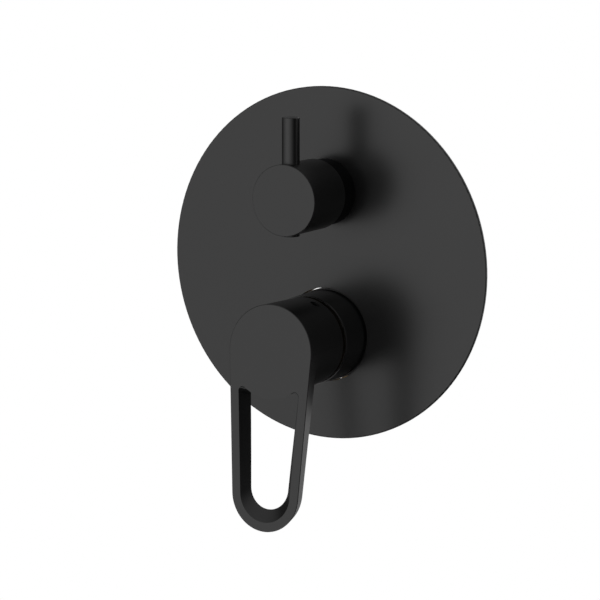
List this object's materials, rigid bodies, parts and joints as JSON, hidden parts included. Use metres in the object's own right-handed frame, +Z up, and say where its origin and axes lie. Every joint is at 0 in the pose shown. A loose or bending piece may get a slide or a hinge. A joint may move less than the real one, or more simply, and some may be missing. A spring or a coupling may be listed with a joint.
{
  "type": "concealed bath mixer",
  "caption": "Concealed wall mixer: round cover plate with a loop lever that lifts and turns, and a knob with a long pin that turns a bath and shower diverter.",
  "frame": {"origin": "centre of the cover plate, in the plane of the finished wall that the plate's foam ring lies on", "axes": "+Z up, +X to the right as seen from the room, +Y into the wall; the handle and the knob stand out on the -Y side"},
  "size_m": [0.18, 0.1186, 0.2156],
  "materials": {
    "black_paint": "matt black",
    "brass": "plain cast and turned brass",
    "dark_brass": "turned brass, blackened",
    "steel": "turned stainless steel",
    "plastic": "moulded, matt",
    "dark_plastic": "moulded black, matt",
    "disc_ceramic": "lapped ceramic",
    "seal_rubber": "moulded rubber",
    "foam": "closed-cell foam"
  },
  "bodies": {
    "wall_unit": {"cover_plate": "black_paint", "plate_foam": "foam", "sleeve": "black_paint", "sleeve_ring": "seal_rubber", "valve_body": "brass", "cartridge_housing": "plastic", "cartridge_base": "plastic", "base_seals": "seal_rubber", "disc_seals": "seal_rubber", "fixed_disc": "disc_ceramic", "cartridge_nut": "dark_brass", "diverter_collar": "black_paint", "diverter_shell": "brass", "diverter_shell_ring": "seal_rubber", "diverter_nut": "brass", "diverter_seat_disc": "disc_ceramic", "diverter_seal": "seal_rubber"},
    "turret": {"cartridge_rotor": "plastic", "pivot_pin": "steel"},
    "lever": {"cartridge_stem": "steel", "handle_insert": "dark_plastic", "insert_screw": "steel", "handle": "black_paint", "handle_screw": "steel"},
    "mixing_slider": {"disc_carrier": "plastic", "moving_disc": "disc_ceramic"},
    "diverter_turner": {"diverter_spindle": "brass", "spindle_ring": "seal_rubber", "diverter_turning_disc": "disc_ceramic", "diverter_knob": "black_paint", "pin_lever": "black_paint", "knob_screw": "steel"}
  },
  "joints": [
    {"name": "handle_turn", "type": "hinge", "parent": "wall_unit", "child": "turret", "pos_m": [0, -0.0285, -0.0362], "axis": [0, -1, 0], "range_deg": [-50, 50]},
    {"name": "handle_lift", "type": "hinge", "parent": "turret", "child": "lever", "pos_m": [0, -0.0285, -0.0362], "axis": [-1, 0, 0], "range_deg": [0, 25]},
    {"name": "disc_slide", "type": "slide", "parent": "turret", "child": "mixing_slider", "axis": [0, 0, -1], "range_m": [0, 0.00423]},
    {"name": "diverter_turn", "type": "hinge", "parent": "wall_unit", "child": "diverter_turner", "pos_m": [0, -0.0147, 0.0369], "axis": [0, -1, 0], "range_deg": [0, 90]}
  ],
  "couplings": [
    {"joint": "disc_slide", "follows": "handle_lift", "m_per_rad": 0.009686}
  ]
}
